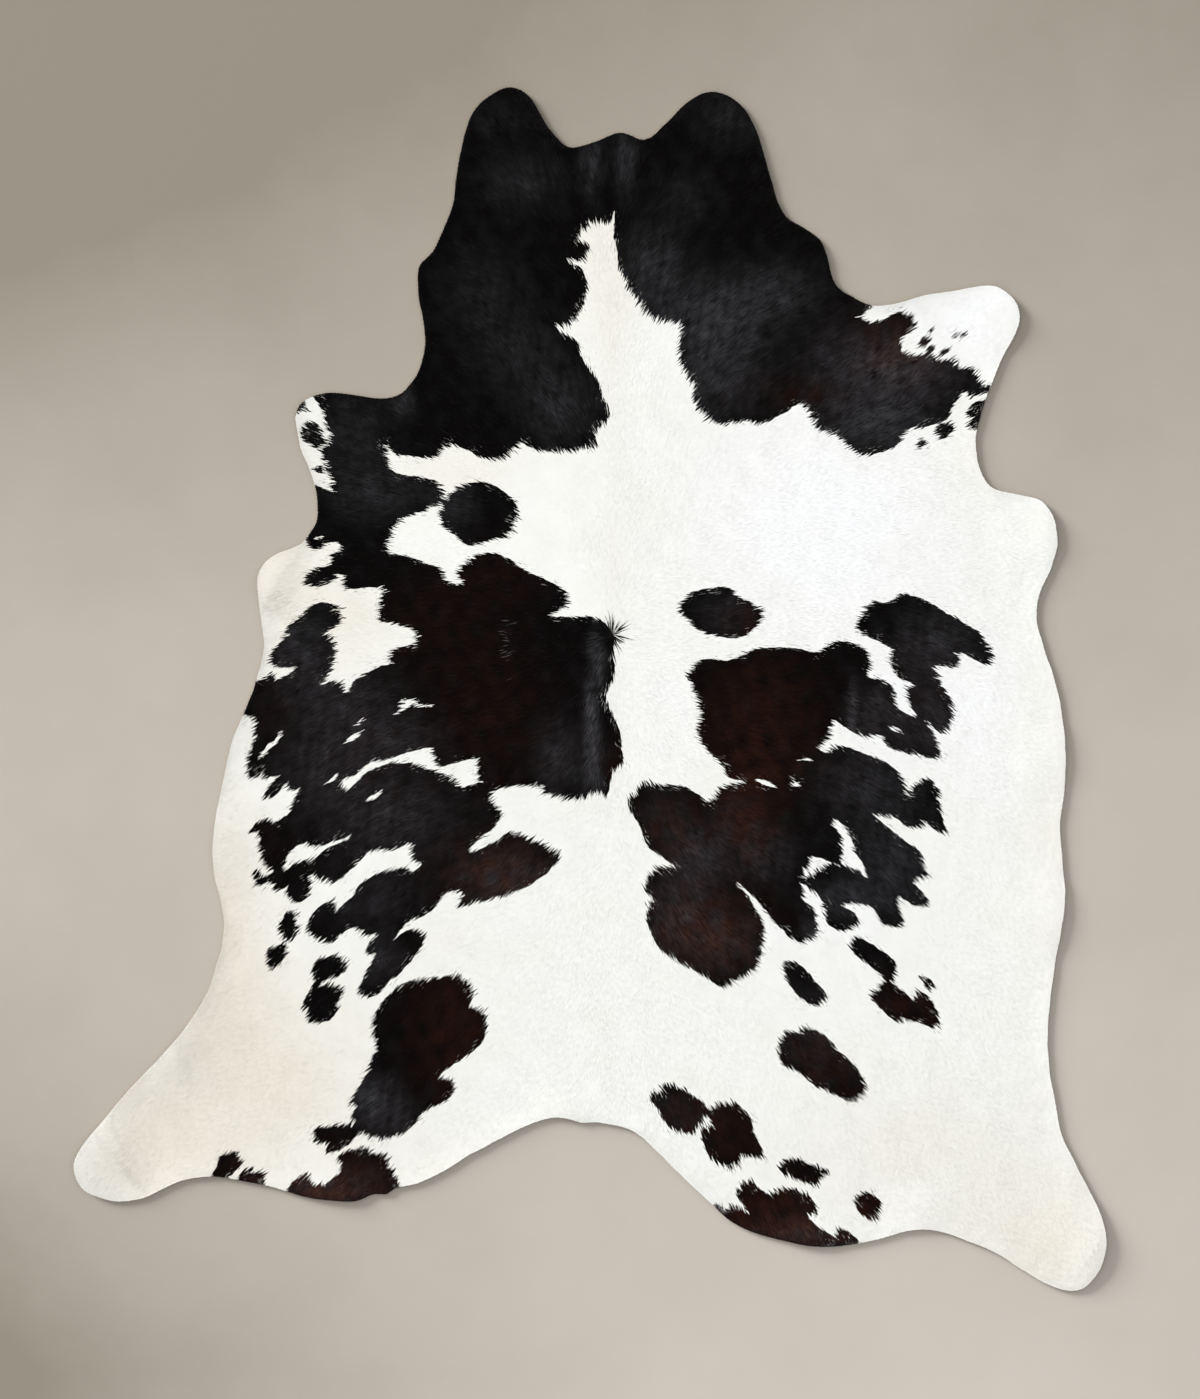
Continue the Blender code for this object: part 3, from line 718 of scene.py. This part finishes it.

# Soft patches of tone. Columns: across, along, reach across, reach along, how much.
# Painted sheen: black hair is painted paler where it would take the light.
PAINTED_SHEEN_PATCHES = (
    (11, 77, 5, 7, 0.32), (22, 68, 9, 7, 0.4), (23, 57, 8, 7, 0.28), (34, 73, 7, 5, 0.26),
    (52, 49, 9, 5, 0.42), (57, 59, 10, 6, 0.44), (45, 60, 7, 7, 0.18), (-5, 51, 6, 6, 0.26),
    (-12, 61, 8, 7, 0.16), (-19, 73, 8, 8, 0.12), (-12, 93, 7, 5, 0.18), (-17, 105, 7, 4, 0.08),
    (6.5, 97, 1.8, 6, 0.34), (0.5, 97, 2, 6, 0.26), (25, 105, 6, 5, 0.16), (17, 90, 5, 5, 0.12),
    (-34, 53, 2.2, 3, 0.32), (-43, 47, 6, 7, 0.18), (-38, 36, 9, 5, 0.22), (-24, 34, 4, 5, 0.2),
    (-53, 8, 6, 8, 0.26), (-44, -2, 9, 7, 0.24), (-49, -14, 8, 7, 0.22), (-36, -23, 12, 8, 0.26),
    (-35, -9, 8, 4, 0.22), (-40, -38, 8, 5, 0.18), (-38, -49, 4, 4, 0.24), (-15, -34, 8, 5, 0.34),
    (2, 6, 1, 4, 0.65), (0.7, -3, 1.1, 5, 0.7), (1, -13, 1.4, 6, 0.6), (-5, -12, 4, 6, 0.28),
    (26, -23, 4, 5, 0.14), (19, -30, 5, 5, 0.34), (16, -41, 6, 7, 0.34), (24, -46, 6, 5, 0.28),
    (13, -23, 4, 5, 0.16), (47.6, -4, 0.8, 5, 0.5), (53, -4, 5, 5, 0.26), (63, 8, 8, 7, 0.28),
    (63, -6, 5, 6, 0.26), (50, -17, 9, 6, 0.24), (55, -32, 8, 9, 0.26), (46, -38, 6, 3, 0.28),
    (40, -44, 2, 2, 0.3), (-40, -75, 5, 4, 0.4), (-35, -80, 5, 4, 0.2), (42, -62, 9, 9, 0.16),
    (16, -78, 6, 5, 0.12), (31, -30, 6, 5, 0.22), (38, -100, 8, 3, 0.38), (-48, -93, 10, 5, 0.38),
    (24, 14, 5, 4, 0.18))
# The brown, cream and cool white are the hair's own colours.
BROWN_CAST = (
    (30, -6, 10, 12, 0.75), (30, -15, 4, 3, 0.6), (28, -23, 5, 7, 0.9), (14, -25, 6, 7, 0.45),
    (21, -44, 10, 8, 0.85), (28, 13, 4, 4, 0.25), (-24, -62, 8, 12, 0.7), (-16, -33, 10, 6, 0.7),
    (-17, -3, 10, 14, 0.32), (-28, 13, 10, 8, 0.25), (-15, 21, 9, 5, 0.25), (5, -13, 2, 6, 0.4),
    (-50, -92, 16, 7, 1), (34, -98, 16, 7, 1), (38, 54, 7, 3, 0.35), (57, 63, 9, 6, 0.5),
    (-58, -3, 5, 9, 0.14), (-60, -28, 5, 6, 0.14), (60, -2, 10, 9, 0.12), (58, -58, 8, 6, 0.4),
    (22, -80, 12, 8, 0.5), (43, -68, 9, 8, 0.4), (52, -96, 4, 4, 0.5), (-40, -14, 14, 18, 0.12))
CREAM_CAST = (
    (-60, -72, 22, 20, 0.9), (-68, -40, 11, 24, 0.9), (-57, 24, 12, 24, 0.75),
    (-42, 12, 10, 8, 0.5), (4.5, 24, 1.5, 9, 0.2), (4, 60, 2.5, 14, 0.2), (-84, -78, 10, 12, 0.4),
    (86, -30, 8, 40, 0.28), (3, 80, 7, 18, 0.5), (-24, 40, 14, 6, 0.45), (-80, -88, 14, 10, 0.6),
    (60, -85, 24, 14, 0.4), (84, -102, 14, 12, 0.75), (72, 44, 5, 8, 0.4), (-20, -88, 20, 8, 0.25),
    (4, 32, 8, 14, 0.12), (-26, -47, 12, 10, 0.14))
COOL_CAST = (
    (42, 30, 22, 20, 0.9), (70, 68, 12, 9, 0.7), (58, -2, 14, 12, 0.6), (42, -38, 12, 14, 0.5),
    (13, -4, 7, 12, 0.3), (12, 62, 8, 10, 0.2), (73, -8, 7, 18, 0.45))
# Thin places in the black. The last column is the share of the locks there that are paler.
THIN_PLACES = (
    (-14.2, 7.3, 0.7, 2.6, 0.20), (-13.6, 12.3, 0.8, 0.3, 0.30), (-13.8, 2.4, 0.5, 0.5, 0.15))
THIN_BLACK = 0.96              # how black those are


def patches_of(places, table):
    """The strength of a table's soft patches at each place."""
    strength = np.zeros(len(places))
    for across, along, reach_across, reach_along, much in table:
        away = ((places[:, 0] / CM - across) / reach_across) ** 2
        away += ((places[:, 1] / CM - along) / reach_along) ** 2
        strength += much * np.exp(-away)
    return strength


# The painted sheen, varied within its patches.
painted_sheen = patches_of(flat, PAINTED_SHEEN_PATCHES)
painted_sheen *= 1.0 + 0.22 * wander(flat, 0.05, 51) + 0.30 * wander(flat, 0.02, 55)
painted_sheen = np.clip(painted_sheen + 0.02 * wander(flat, 0.04, 52), 0.0, 1.0)
brown = np.clip(patches_of(flat, BROWN_CAST) * (1.0 + 0.4 * wander(flat, 0.04, 53)), 0.0, 1.0)
cream = np.clip(patches_of(flat, CREAM_CAST) + 0.05 * wander(flat, 0.12, 54), 0.0, 1.0)
cool = np.clip(patches_of(flat, COOL_CAST), 0.0, 1.0)
black[draw.uniform(0.0, 1.0, count) < patches_of(flat, THIN_PLACES)] *= THIN_BLACK
carry(skin.data, "cream", np.clip(patches_of(skin_places, CREAM_CAST), 0.0, 1.0))

# Painted shade in the thin creases where the legs were folded, and over the lower left hind leg.
# Columns: from across, along, to across, along, half width, share of the light that is lost.
PAINTED_CREASES = (
    (-91.6, -81.8, -86.2, -86.4, 0.35, 0.14), (-86.2, -86.4, -82.0, -91.6, 0.35, 0.18),
    (-88.3, -78.4, -85.0, -85.6, 0.30, 0.15), (-75.8, -63.6, -74.4, -70.5, 0.30, 0.12),
    (-54.3, 26.0, -56.6, 21.0, 0.5, 0.04), (-56.6, 21.0, -59.7, 14.5, 0.5, 0.04),
    (-70.0, -62.0, -92.0, -88.0, 9.0, 0.06))
EDGE_PAINTED_SHADE = 0.13               # painted shade: share of the light lost near the cut edge
EDGE_REACH = 9.0 * MM


def painted_shade_of_creases(places):
    """The painted shade of the creases: the share of the light taken away at each place."""
    lost = np.zeros(len(places))
    for x0, y0, x1, y1, half_width, share in PAINTED_CREASES:
        start, run = np.array([x0, y0]) * CM, np.array([x1 - x0, y1 - y0]) * CM
        along = np.clip((places - start) @ run / (run @ run), 0.0, 1.0)
        away = np.hypot(*(places - start - along[:, None] * run).T) / (half_width * CM)
        lost = np.maximum(lost, share * np.exp(-away ** 2))
    return lost


# Painted shade: each lock painted darker in the creases and near the cut edge.
painted_shading = 1.0 - painted_shade_of_creases(flat) - EDGE_PAINTED_SHADE * np.exp(-(to_rim / EDGE_REACH) ** 2)
tone = draw.uniform(0.0, 1.0, count)

HAIR_WHITE = (0.87, 0.88, 0.85, 1.0)
HAIR_CREAM = (0.785, 0.74, 0.65, 1.0)
HAIR_COOL = (0.92, 0.93, 0.95, 1.0)
HAIR_BLACK = (0.0015, 0.0012, 0.0011, 1.0)
HAIR_BROWN = (0.015, 0.0045, 0.0028, 1.0)
HAIR_PAINTED_SHEEN = (0.056, 0.054, 0.060, 1.0)    # painted sheen: black hair as if it took the light
HAIR_PAINTED_GLINT = (0.063, 0.032, 0.025, 1.0)    # painted glint: brown hair as if it took the light
ROUGHNESS = (0.65, 0.50)       # of white and of black hair
# On black hair the wide swing of tone partly stands for painted glints of single hairs.
TONE_SWING_AND_PAINTED_GLINTS = (0.02, 0.7)           # how much the tone of white and of black hair varies
STREAKS = (1.2, 9.0, 1.0)      # the hairs in a lock, along it, across it and through it
EVENING = (12.0, 12.0, 12.0)   # how much the way up from the skin counts beside the face's own

hair, shader, node = new_material("hair")


def own(name, output="Fac"):
    """A value that each lock carries."""
    return node("ShaderNodeAttribute", attribute_name=name).outputs[output]


def reckon(node, operation, *numbers):
    """The result of one step of arithmetic."""
    return node("ShaderNodeMath", dict(enumerate(numbers)), operation=operation).outputs[0]


stretch = node("ShaderNodeMapping", {"Vector": own("strand", "Vector"), "Scale": STREAKS})
streak = node("ShaderNodeTexNoise", {"Vector": stretch.outputs["Vector"], "Scale": 1.0,
                                     "Detail": 2.0}).outputs["Fac"]
white_hair = blend_of(node, own("cool"), HAIR_WHITE, HAIR_COOL)
white_hair = blend_of(node, own("cream"), white_hair, HAIR_CREAM)
black_hair = blend_of(node, own("brown"), HAIR_BLACK, HAIR_BROWN)
# Painted sheen: black hair painted paler, brown hair ruddier, in the sheen patches.
painted_sheen_hair = blend_of(node, own("brown"), HAIR_PAINTED_SHEEN, HAIR_PAINTED_GLINT)
black_hair = blend_of(node, own("painted_sheen"), black_hair, painted_sheen_hair)
coloured = blend_of(node, own("black"), white_hair, black_hair)
# Swing of tone, on black hair partly painted glints.
swing_and_painted_glints = blend_of(node, own("black"), *TONE_SWING_AND_PAINTED_GLINTS)
toned = reckon(node, "SUBTRACT", reckon(node, "ADD", own("tone"), streak), 1.0)
# The lock's tone, with the painted shade of the creases and the edge.
shaded = node("ShaderNodeHueSaturation", {
    "Color": coloured, "Value": reckon(node, "MULTIPLY_ADD", toned, swing_and_painted_glints, own("painted_shading"))})
# A lock is a bundle of round hairs, so it takes the light more evenly than its flat faces.
facing = node("ShaderNodeNewGeometry").outputs["Normal"]
evened = node("ShaderNodeVectorMath", {0: own("evened up", "Vector"), 1: EVENING, 2: facing},
              operation="MULTIPLY_ADD").outputs["Vector"]
evened = node("ShaderNodeVectorMath", {0: evened}, operation="NORMALIZE").outputs["Vector"]
raised = node("ShaderNodeBump", {"Height": streak, "Strength": 0.1, "Distance": 0.1 * MM,
                                 "Normal": evened})
fill(shader, {"Base Color": shaded.outputs["Color"], "Normal": raised.outputs["Normal"],
              "Roughness": blend_of(node, own("black"), *ROUGHNESS), "Specular IOR Level": 0.03})

# One lock, one long and one wide: its root, its tip, and its left and right side where it is
# widest and hangs a little below the line from root to tip.
WIDEST, BELOW = 0.42, -0.06
corners = [(0.0, 0.0, 0.0), (1.0, 0.0, 0.0), (WIDEST, 0.5, BELOW), (WIDEST, -0.5, BELOW)]
lock_mesh = bpy.data.meshes.new("lock")
lock_mesh.from_pydata(corners, [], [(0, 1, 2), (0, 3, 1), (2, 1, 3), (2, 3, 0)])
carry(lock_mesh, "strand", np.array(corners))
lock = new_object("lock", lock_mesh)

coat_tree, node, given, result = new_tree(
    "coat of locks", ("Lock", "Object"), ("Hair", "Material"))


def carried(name, kind):
    """A value that the roots carry."""
    return node("GeometryNodeInputNamedAttribute", {"Name": name},
                data_type=kind).outputs["Attribute"]


shape = node("GeometryNodeObjectInfo", {"Object": given["Lock"], "As Instance": True})
size = node("ShaderNodeCombineXYZ", {"X": carried("length", "FLOAT"),
                                     "Y": carried("width", "FLOAT"), "Z": LOCK_WIDTH})
turn = node("FunctionNodeAxesToRotation", {
    "Primary Axis": carried("direction", "FLOAT_VECTOR"),
    "Secondary Axis": carried("face up", "FLOAT_VECTOR")},
    primary_axis="X", secondary_axis="Z")
spread = node("GeometryNodeInstanceOnPoints", {
    "Points": given["Geometry"], "Instance": shape.outputs["Geometry"],
    "Rotation": turn.outputs["Rotation"], "Scale": size.outputs["Vector"]})
real = node("GeometryNodeRealizeInstances", {"Geometry": spread.outputs["Instances"]})
painted = node("GeometryNodeSetMaterial", {
    "Geometry": real.outputs["Geometry"], "Material": given["Hair"]})
fill(result, {"Geometry": painted.outputs["Geometry"]})

# The corners of a lock's four faces in its own cell of the piece's map, face by face: root, tip,
# left; root, right, tip; left, tip, right; left, right, root.
CELL = np.array([
    (0.34, 0.06), (0.34, 0.94), (0.08, 0.43), (0.34, 0.06), (0.60, 0.43), (0.34, 0.94),
    (0.68, 0.45), (0.81, 0.94), (0.94, 0.45), (0.68, 0.40), (0.94, 0.40), (0.81, 0.06)])


def lay_out_map(mesh, places):
    """Gives each lock a cell of the piece's map, in rows and columns as they lie on the hide."""
    side = math.ceil(math.sqrt(len(places)))
    by_x = np.argsort(places[:, 0], kind="stable")
    column, row = np.empty(len(places)), np.empty(len(places))
    for number, chunk in enumerate(np.array_split(by_x, side)):
        ranked = chunk[np.argsort(places[chunk, 1], kind="stable")]
        column[ranked] = number
        row[ranked] = np.arange(len(ranked))
    corner = np.stack([column, row], axis=1)[:, None, :] + CELL[None]
    layer = mesh.uv_layers.new(name="OFBake")
    layer.uv.foreach_set("vector", (corner / side).astype(np.float32).ravel())


order = np.argsort(-flat[:, 1], kind="stable")
for name, part in zip(COAT_PIECES, np.array_split(order, len(COAT_PIECES))):
    part = np.sort(part)
    mesh = bpy.data.meshes.new(name)
    mesh.from_pydata(roots[part] + up[part] * ROOT_RISE, [], [])
    for label, values in (
            ("length", length), ("width", width), ("black", black), ("brown", brown),
            ("painted_sheen", painted_sheen), ("cream", cream), ("cool", cool), ("tone", tone), ("painted_shading", painted_shading),
            ("direction", direction), ("face up", face_up), ("evened up", evened_up)):
        carry(mesh, label, values[part])
    coat = new_object(name, mesh)
    mesh = run_tree(coat, coat_tree, {"Lock": lock, "Hair": hair})
    mesh.name = name
    lay_out_map(mesh, flat[part])
    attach(coat, "root")
    coat.visible_shadow = False    # light gets through such thin hair
bpy.data.objects.remove(lock, do_unlink=True)

# ---- The studio -------------------------------------------------------------------------------
# A plain pale floor, seen from straight above, in soft light from the upper left that throws a
# short shadow to the right of the hide and below it.
FLOOR_REACH = 6.0
FLOOR_LEVEL = -0.6 * MM
FLOOR_DEEP = (0.26, 0.230, 0.185, 1.0)
FLOOR_PALE = (0.62, 0.57, 0.51, 1.0)
# How pale the floor is: so much in the middle, a curve across that counts more the further from
# the middle it is along, up to a limit, a fall towards the head, and clouds.
PALE_MIDDLE = 0.41
PALE_CURVE = (-0.185, 0.233, -0.10)    # for the square of across, for across, and for all
PALE_LIMIT = 1.6
PALE_FALL = -0.25
PALE_CLOUDS = 0.25
SENSOR = 36.0                  # mm
CAMERA_PLACE = (1.85 * CM, -1.94 * CM, 8.0)
FRAME_LONG = 2.588             # metres of floor along the long side of the photograph
KEY_PLACE = (-31.0, 21.0, 9.6)
KEY_SIDE = 13.0
KEY_WATTS = 29_000.0
KEY_COLOUR = (1.0, 0.995, 0.98)
SKY = 0.68

floor_mesh = bpy.data.meshes.new("floor")
floor_mesh.from_pydata([(x * FLOOR_REACH, y * FLOOR_REACH, FLOOR_LEVEL)
                        for x, y in ((-1, -1), (1, -1), (1, 1), (-1, 1))], [], [(0, 1, 2, 3)])
floor = new_object("floor", floor_mesh)
ground, shader, node = new_material("floor")
where = node("ShaderNodeTexCoord").outputs["Object"]
clouds = node("ShaderNodeTexNoise", {"Vector": where, "Scale": 3.0, "Detail": 6.0,
                                     "Roughness": 0.6}).outputs["Fac"]
spot = node("ShaderNodeSeparateXYZ", {"Vector": where}).outputs
far = reckon(node, "MINIMUM", reckon(node, "MULTIPLY", spot["Y"], spot["Y"]), PALE_LIMIT)
curve = reckon(node, "MULTIPLY_ADD", spot["X"], PALE_CURVE[0], PALE_CURVE[1])
curve = reckon(node, "MULTIPLY_ADD", spot["X"], curve, PALE_CURVE[2])
how_pale = reckon(node, "MULTIPLY_ADD", curve, far, PALE_MIDDLE)
how_pale = reckon(node, "MULTIPLY_ADD", spot["Y"], PALE_FALL, how_pale)
how_pale = reckon(node, "MULTIPLY_ADD", clouds, PALE_CLOUDS, how_pale)
fill(shader, {"Base Color": blend_of(node, how_pale, FLOOR_DEEP, FLOOR_PALE), "Roughness": 0.9})
floor_mesh.materials.append(ground)

key_light = bpy.data.lights.new("key", "AREA")
key_light.shape = "SQUARE"
key_light.size = KEY_SIDE
key_light.energy = KEY_WATTS
key_light.color = KEY_COLOUR
key = new_object("key", key_light)
key.location = KEY_PLACE
key.rotation_euler = (-Vector(KEY_PLACE)).to_track_quat("-Z", "Y").to_euler()

world = bpy.data.worlds.new("studio")
world.use_nodes = True
fill(world.node_tree.nodes["Background"], {"Color": (1.0, 1.0, 1.0, 1.0), "Strength": SKY})
bpy.context.scene.world = world
bpy.context.scene.view_settings.view_transform = "Standard"

camera_data = bpy.data.cameras.new("camera")
camera_data.sensor_width = SENSOR
camera_data.lens = SENSOR * CAMERA_PLACE[2] / FRAME_LONG
camera = new_object("camera", camera_data)
camera.location = CAMERA_PLACE
bpy.context.scene.camera = camera

bpy.context.view_layer.update()
